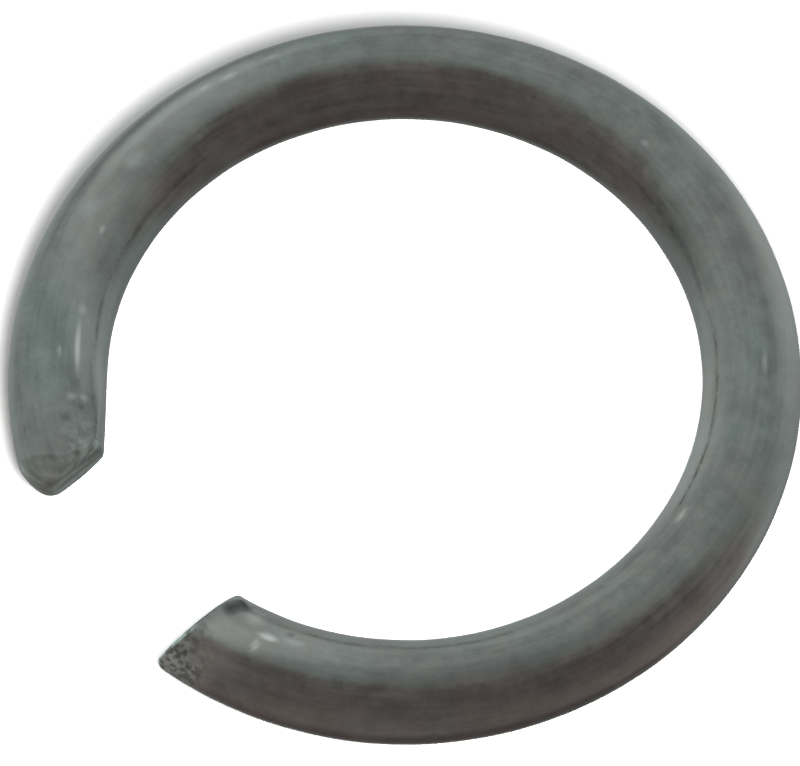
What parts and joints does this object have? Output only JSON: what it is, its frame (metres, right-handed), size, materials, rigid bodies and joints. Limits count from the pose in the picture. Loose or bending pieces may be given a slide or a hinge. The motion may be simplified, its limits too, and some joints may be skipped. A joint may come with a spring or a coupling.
{
  "type": "retaining ring",
  "caption": "Open retaining ring of round spring wire, lying flat, with a parallel-sided gap between a pointed sheared end and a blunt, rounded end with a flat on its inner side.",
  "frame": {"origin": "on the ring's axis, at the level of the surface that the ring lies on", "axes": "+Z is the ring's axis, pointing up off the surface; the gap faces 38 degrees beyond -X towards -Y, so -Y looks at the pictured front"},
  "size_m": [0.024, 0.024, 0.003],
  "materials": {
    "spring_steel": "dull grey drawn spring steel with a slightly green cast, semi-matt, with faint drawing lines along the wire and small handling marks"
  },
  "bodies": {
    "root": {"ring": "spring_steel"}
  },
  "joints": []
}
